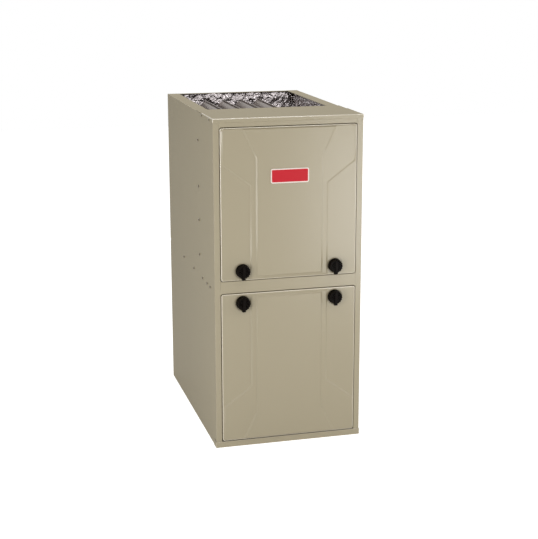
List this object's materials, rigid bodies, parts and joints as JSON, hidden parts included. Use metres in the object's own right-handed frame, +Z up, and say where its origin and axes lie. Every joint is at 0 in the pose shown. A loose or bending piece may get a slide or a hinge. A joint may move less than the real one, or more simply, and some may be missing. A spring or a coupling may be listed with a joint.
{
  "type": "forced air gas furnace",
  "caption": "Upright forced-air gas furnace in a beige sheet-steel cabinet, with lift-off embossed doors, quarter-turn latch knobs and an open supply top",
  "frame": {"origin": "centre of the cabinet's base, on the floor", "axes": "+Z up, the doors face -Y, +X to the right of someone who faces the doors"},
  "size_m": [0.463, 0.7478, 1.016],
  "materials": {
    "beige_paint": "satin",
    "galvanised_steel": "satin",
    "foil_insulation": "gloss",
    "aluminised_steel": "satin",
    "coil_aluminium": "satin",
    "black_plastic": "satin",
    "motor_paint": "satin",
    "white_pvc": "satin",
    "black_steel": "satin",
    "cast_aluminium": "satin",
    "red_plastic": "satin",
    "ceramic_white": "matte",
    "grey_plastic": "satin",
    "black_rubber": "matte",
    "circuit_board": "satin",
    "copper_winding": "satin",
    "badge_red": "satin"
  },
  "bodies": {
    "cabinet": {"air_intake_pipe": "white_pvc", "back_liner": "foil_insulation", "back_panel": "beige_paint", "base_pan": "beige_paint", "base_rail": "beige_paint", "blower_deck": "galvanised_steel", "blower_housing": "galvanised_steel", "blower_motor": "motor_paint", "burner_box": "galvanised_steel", "burner_rack": "aluminised_steel", "cell_panel": "galvanised_steel", "collector_box": "black_plastic", "condensate_trap": "black_plastic", "condensing_coil": "coil_aluminium", "control_board": "circuit_board", "control_box": "galvanised_steel", "coupling_box": "aluminised_steel", "door_switch": "grey_plastic", "drain_hose": "black_rubber", "flame_sensor": "ceramic_white", "gas_manifold": "black_steel", "gas_pipe": "black_steel", "gas_valve": "cast_aluminium", "header_rail": "beige_paint", "heat_exchanger_cell_1": "aluminised_steel", "heat_exchanger_cell_2": "aluminised_steel", "heat_exchanger_cell_3": "aluminised_steel", "heat_exchanger_cell_4": "aluminised_steel", "igniter": "ceramic_white", "inducer_housing": "black_plastic", "inducer_motor": "motor_paint", "junction_box": "galvanised_steel", "left_liner": "foil_insulation", "left_side_panel": "beige_paint", "limit_switch": "grey_plastic", "mid_rail": "beige_paint", "motor_bracket": "black_steel", "pressure_hose": "black_rubber", "pressure_switch": "grey_plastic", "right_liner": "foil_insulation", "right_side_panel": "beige_paint", "rollout_switch": "black_plastic", "top_front_plate": "beige_paint", "top_rear_strip": "beige_paint", "transformer": "copper_winding", "vent_elbow": "white_pvc", "wiring_harness": "black_rubber"},
    "upper_door": {"upper_door": "beige_paint", "badge_plate": "badge_red"},
    "lower_door": {"lower_door": "beige_paint", "lower_door_liner": "foil_insulation"},
    "knob_upper_left": {"latch_knob_upper_left": "black_plastic"},
    "knob_upper_right": {"latch_knob_upper_right": "black_plastic"},
    "knob_lower_left": {"latch_knob_lower_left": "black_plastic"},
    "knob_lower_right": {"latch_knob_lower_right": "black_plastic"},
    "blower_rotor": {"blower_wheel": "galvanised_steel"},
    "inducer_rotor": {"inducer_wheel": "black_plastic"},
    "switch_plunger": {"door_switch_plunger": "white_pvc"},
    "valve_knob": {"gas_valve_knob": "red_plastic"},
    "reset_button": {"rollout_reset_button": "red_plastic"}
  },
  "joints": [
    {"name": "upper_door_lift_off", "type": "slide", "parent": "cabinet", "child": "upper_door", "axis": [0, -1, 0], "range_m": [0, 0.2]},
    {"name": "lower_door_lift_off", "type": "slide", "parent": "cabinet", "child": "lower_door", "axis": [0, -1, 0], "range_m": [0, 0.2]},
    {"name": "upper_left_latch_turn", "type": "hinge", "parent": "upper_door", "child": "knob_upper_left", "pos_m": [-0.1445, -0.365, 0.55725], "axis": [0, -1, 0], "range_deg": [0, 90]},
    {"name": "upper_right_latch_turn", "type": "hinge", "parent": "upper_door", "child": "knob_upper_right", "pos_m": [0.1445, -0.365, 0.55725], "axis": [0, -1, 0], "range_deg": [0, 90]},
    {"name": "lower_left_latch_turn", "type": "hinge", "parent": "lower_door", "child": "knob_lower_left", "pos_m": [-0.1445, -0.365, 0.45875], "axis": [0, -1, 0], "range_deg": [0, 90]},
    {"name": "lower_right_latch_turn", "type": "hinge", "parent": "lower_door", "child": "knob_lower_right", "pos_m": [0.1445, -0.365, 0.45875], "axis": [0, -1, 0], "range_deg": [0, 90]},
    {"name": "blower_spin", "type": "hinge", "parent": "cabinet", "child": "blower_rotor", "pos_m": [0, 0.01, 0.28], "axis": [1, 0, 0], "continuous": true},
    {"name": "inducer_spin", "type": "hinge", "parent": "cabinet", "child": "inducer_rotor", "pos_m": [-0.04, -0.1826, 0.64], "axis": [0, 1, 0], "continuous": true},
    {"name": "door_switch_press", "type": "slide", "parent": "cabinet", "child": "switch_plunger", "axis": [0, 1, 0], "range_m": [0, 0.003], "stiffness_N_per_m": 400, "springref_m": -0.001},
    {"name": "gas_valve_turn", "type": "hinge", "parent": "cabinet", "child": "valve_knob", "pos_m": [0.1251, -0.3, 0.843], "axis": [0, -1, 0], "range_deg": [0, 90]},
    {"name": "rollout_reset_press", "type": "slide", "parent": "cabinet", "child": "reset_button", "axis": [0, 1, 0], "range_m": [0, 0.002], "stiffness_N_per_m": 600, "springref_m": -0.001}
  ]
}
